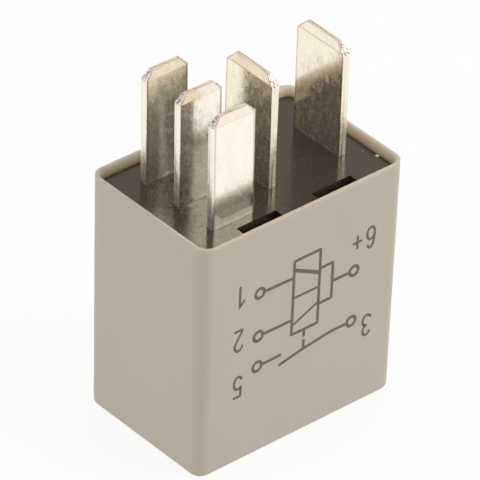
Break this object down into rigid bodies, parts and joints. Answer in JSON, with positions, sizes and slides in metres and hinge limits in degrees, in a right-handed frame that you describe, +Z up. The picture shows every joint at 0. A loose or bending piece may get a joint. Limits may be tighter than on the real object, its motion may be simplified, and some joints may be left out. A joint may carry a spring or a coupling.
{
  "type": "automotive relay",
  "caption": "Small plug-in car relay: a rounded grey cap with flat blade terminals standing out of a dark base plate, and a hinged armature that works one contact inside.",
  "frame": {"origin": "middle of the cap's closed end, in the plane that it stands on", "axes": "+Z up, from the closed end to the blade tips; +X along the long side, from the three coil blades towards the outer wide blade; +Y across, away from the side with the printed diagram"},
  "size_m": [0.0232, 0.0158, 0.0358],
  "materials": {
    "grey_plastic": "moulded",
    "dark_plastic": "glossy",
    "tinned_brass": "tin plated",
    "cream_plastic": "moulded",
    "soft_iron": "plated",
    "copper_wire": "enamelled wire",
    "solder": "bright",
    "spring_bronze": "rolled",
    "silver": "satin"
  },
  "bodies": {
    "housing": {"cap": "grey_plastic", "base_plate": "dark_plastic", "terminal_1": "tinned_brass", "terminal_2": "tinned_brass", "terminal_6": "tinned_brass", "terminal_5": "tinned_brass", "terminal_3": "tinned_brass", "bobbin": "cream_plastic", "core": "soft_iron", "yoke": "soft_iron", "first_winding": "copper_wire", "second_winding": "copper_wire", "first_lead": "copper_wire", "second_lead": "copper_wire", "common_leads": "copper_wire", "solder_joints": "solder", "yoke_rivets": "soft_iron", "fixed_contact": "silver", "rest_stop": "tinned_brass"},
    "armature": {"armature": "soft_iron", "contact_spring": "spring_bronze", "armature_rivets": "soft_iron", "moving_contact": "silver"}
  },
  "joints": [
    {"name": "armature_hinge", "type": "hinge", "parent": "housing", "child": "armature", "pos_m": [0.0092, 0, 0.00498], "axis": [0, 1, 0], "range_deg": [0, 3.2], "stiffness_Nm_per_rad": 0.1, "springref_deg": -1.89, "deforming": ["contact_spring"]}
  ]
}
